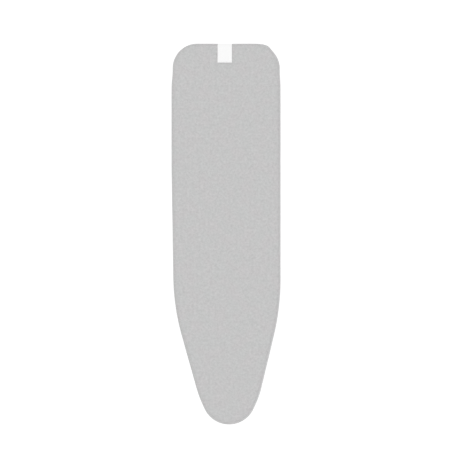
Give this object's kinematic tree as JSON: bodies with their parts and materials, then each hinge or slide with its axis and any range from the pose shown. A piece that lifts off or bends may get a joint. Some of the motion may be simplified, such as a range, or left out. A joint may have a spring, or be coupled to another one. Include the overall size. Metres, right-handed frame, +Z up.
{
  "type": "ironing board cover",
  "caption": "Padded silver-grey ironing board cover with a square heel and a tapered nose, an elastic hem, and elastic straps with hinged lever clips that tension it under the board.",
  "frame": {"origin": "on the surface that the cover lies on, under the middle of its box, with the ironing face up", "axes": "+Z up out of the ironing face, +Y towards the square heel and -Y towards the nose, +X to the right as seen from above with the heel at the top"},
  "size_m": [0.318, 1.111, 0.0422],
  "materials": {
    "silver_cloth": "satin",
    "foam": "matte",
    "felt": "matte",
    "hem_tape": "matte",
    "hem_elastic": "matte",
    "label_cloth": "satin",
    "strap_webbing": "matte",
    "clip_steel": "polished",
    "pad_plastic": "satin"
  },
  "bodies": {
    "cover": {"top_cover": "silver_cloth", "foam_layer": "foam", "felt_layer": "felt", "hem_tape": "hem_tape", "hem_elastic": "hem_elastic", "heel_label": "label_cloth", "heel_left_clip_frame": "clip_steel", "heel_left_clip_pin": "clip_steel", "heel_left_jaw_pad": "pad_plastic", "heel_right_clip_frame": "clip_steel", "heel_right_clip_pin": "clip_steel", "heel_right_jaw_pad": "pad_plastic", "heel_strap": "strap_webbing", "middle_left_clip_frame": "clip_steel", "middle_left_clip_pin": "clip_steel", "middle_left_jaw_pad": "pad_plastic", "middle_right_clip_frame": "clip_steel", "middle_right_clip_pin": "clip_steel", "middle_right_jaw_pad": "pad_plastic", "middle_strap": "strap_webbing", "front_left_clip_frame": "clip_steel", "front_left_clip_pin": "clip_steel", "front_left_jaw_pad": "pad_plastic", "front_right_clip_frame": "clip_steel", "front_right_clip_pin": "clip_steel", "front_right_jaw_pad": "pad_plastic", "front_strap": "strap_webbing"},
    "heel_left_lever": {"heel_left_clip_lever": "clip_steel"},
    "heel_right_lever": {"heel_right_clip_lever": "clip_steel"},
    "middle_left_lever": {"middle_left_clip_lever": "clip_steel"},
    "middle_right_lever": {"middle_right_clip_lever": "clip_steel"},
    "front_left_lever": {"front_left_clip_lever": "clip_steel"},
    "front_right_lever": {"front_right_clip_lever": "clip_steel"}
  },
  "joints": [
    {"name": "heel_left_lever_hinge", "type": "hinge", "parent": "cover", "child": "heel_left_lever", "pos_m": [-0.101, 0.38945, 0.0038], "axis": [0, 1, 0], "range_deg": [0, 110]},
    {"name": "heel_right_lever_hinge", "type": "hinge", "parent": "cover", "child": "heel_right_lever", "pos_m": [0.101, 0.38945, 0.0038], "axis": [0, -1, 0], "range_deg": [0, 110]},
    {"name": "middle_left_lever_hinge", "type": "hinge", "parent": "cover", "child": "middle_left_lever", "pos_m": [-0.10037, 0.15945, 0.0038], "axis": [0, 1, 0], "range_deg": [0, 110]},
    {"name": "middle_right_lever_hinge", "type": "hinge", "parent": "cover", "child": "middle_right_lever", "pos_m": [0.101, 0.15945, 0.0038], "axis": [0, -1, 0], "range_deg": [0, 110]},
    {"name": "front_left_lever_hinge", "type": "hinge", "parent": "cover", "child": "front_left_lever", "pos_m": [-0.09675, -0.07055, 0.0038], "axis": [0, 1, 0], "range_deg": [0, 110]},
    {"name": "front_right_lever_hinge", "type": "hinge", "parent": "cover", "child": "front_right_lever", "pos_m": [0.101, -0.07055, 0.0038], "axis": [0, -1, 0], "range_deg": [0, 110]}
  ]
}
